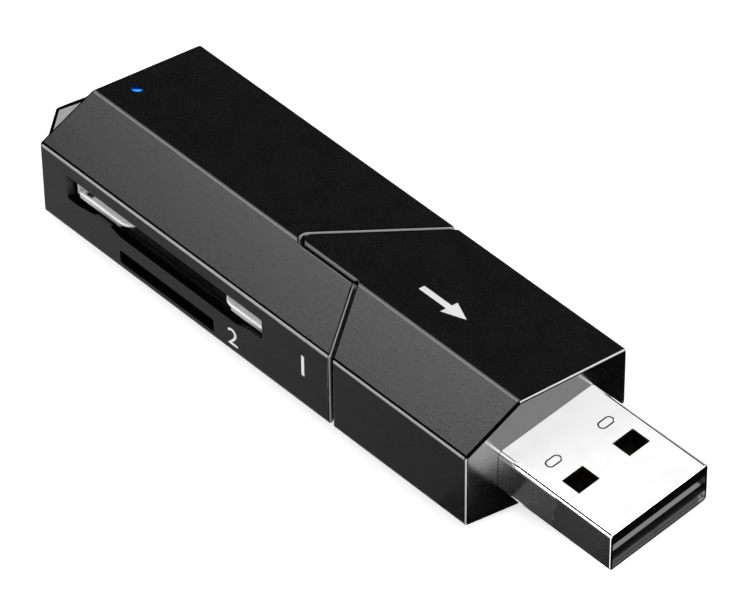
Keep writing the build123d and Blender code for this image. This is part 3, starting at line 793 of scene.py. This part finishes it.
def paleFloor():
    material, tree, shader = startMaterial("paleFloor")
    setInputs(tree, shader, {
        "Base Color": grey(stage["floorTone"]),
        "Roughness": 1.0,
        "Specular IOR Level": 0.0,
        "Emission Color": grey(1.0),
        "Emission Strength": blendValues(tree, seesBackground(tree), 0.0, stage["floorLift"]),
    })
    return material


def toneCard(name, tones, ends):  # tone from its tail end to its plug end
    material, tree, shader = startMaterial(name + "Tone")
    along = addNode(tree, "ShaderNodeSeparateXYZ", {"Vector": objectPlace(tree)}).outputs["X"]
    limits = {"Value": along, "From Min": ends[0], "From Max": ends[1]}
    limits.update({"To Min": tones[0], "To Max": tones[1]})
    setInputs(tree, shader, {
        "Base Color": grey(0.0),
        "Specular IOR Level": 0.0,
        "Emission Color": grey(1.0),
        "Emission Strength": addNode(tree, "ShaderNodeMapRange", limits).outputs["Result"],
    })
    return material


def addPanel(name, size, toRow, material):
    x, y = size[0] / 2, size[1] / 2
    mesh = bpy.data.meshes.new(name)
    mesh.from_pydata([(-x, -y, 0), (x, -y, 0), (x, y, 0), (-x, y, 0)], [], [(0, 1, 2, 3)])
    mesh.transform(toRow)
    mesh.materials.append(material)
    panel = bpy.data.objects.new(name, mesh)
    scene.collection.objects.link(panel)
    return panel


def cardTurn(direction):  # keeps a card's first side along the reader, or across it for one endways
    facing = Vector(direction).normalized()
    first = Vector((1, 0, 0)) if abs(facing.x) < stage["endOn"] else Vector((0, 1, 0))
    lengthwise = (first - facing * facing.dot(first)).normalized()
    return Matrix((lengthwise, facing.cross(lengthwise), facing)).transposed().to_4x4()


def addCard(name, card):
    place = Matrix.Translation(card["middle"]) @ cardTurn(card["facing"])
    ends = [card["middle"][0] + side * card["size"][0] / 2 for side in (-1, 1)]
    panel = addPanel(name, card["size"], place, toneCard(name, card["tones"], ends))
    panel.visible_camera = False
    panel.visible_diffuse = False
    panel.visible_shadow = False
    panel.visible_transmission = False


def addSoftBox(name, box):
    light = bpy.data.lights.new(name, "AREA")
    light.shape = "RECTANGLE"
    light.size, light.size_y = box["size"]
    light.energy = box["radiance"] * box["size"][0] * box["size"][1] * math.pi
    lamp = bpy.data.objects.new(name, light)
    towards = Vector(box["towards"]).normalized()
    facing = towards.to_track_quat("Z", "Y").to_matrix().to_4x4()
    lamp.matrix_world = Matrix.Translation(towards * stage["boxDistance"]) @ facing
    lamp.visible_camera = False
    lamp.visible_diffuse = not box.get("sheenOnly", False)
    scene.collection.objects.link(lamp)


makeWorld()
floorSize = (stage["floorSize"], stage["floorSize"])
addPanel("floor", floorSize, Matrix.Translation((0, 0, -stage["floorDrop"])), paleFloor())
for name, card in stage["cards"].items():
    addCard(name, card)
for name, box in stage["boxes"].items():
    addSoftBox(name, box)
print("stage lit:", len(stage["boxes"]), "soft boxes,", len(stage["cards"]), "cards")

# camera at the photograph's angle
shot = {
    "aim": (1.3945, 0.1435, 5.4796),  # mm, and so is the distance
    "distance": 493.17,
    "azimuth": 58.7437,
    "elevation": 53.7202,
    "roll": -16.82,
    "lens": 268.8,
    "sensor": 36.0,
    "nearClip": 0.01,
}


def makeCamera():
    azimuth, elevation, roll = (math.radians(shot[key]) for key in ("azimuth", "elevation", "roll"))
    outward = math.cos(elevation)
    sideways, endways = math.sin(azimuth) * outward, -math.cos(azimuth) * outward
    back = Vector((sideways, endways, math.sin(elevation)))
    level = Vector((0, 0, 1)).cross(back).normalized()
    upright = back.cross(level)
    right = math.cos(roll) * level + math.sin(roll) * upright
    pose = Matrix((right, back.cross(right), back)).transposed().to_4x4()
    data = bpy.data.cameras.new("photoCamera")
    data.lens = shot["lens"]
    data.sensor_width = shot["sensor"]
    data.clip_start = shot["nearClip"]
    camera = bpy.data.objects.new("photoCamera", data)
    place = Vector(shot["aim"]) * mm + back * shot["distance"] * mm
    camera.matrix_world = Matrix.Translation(place) @ pose
    scene.collection.objects.link(camera)
    scene.camera = camera


makeCamera()
scene.view_settings.view_transform = "Standard"
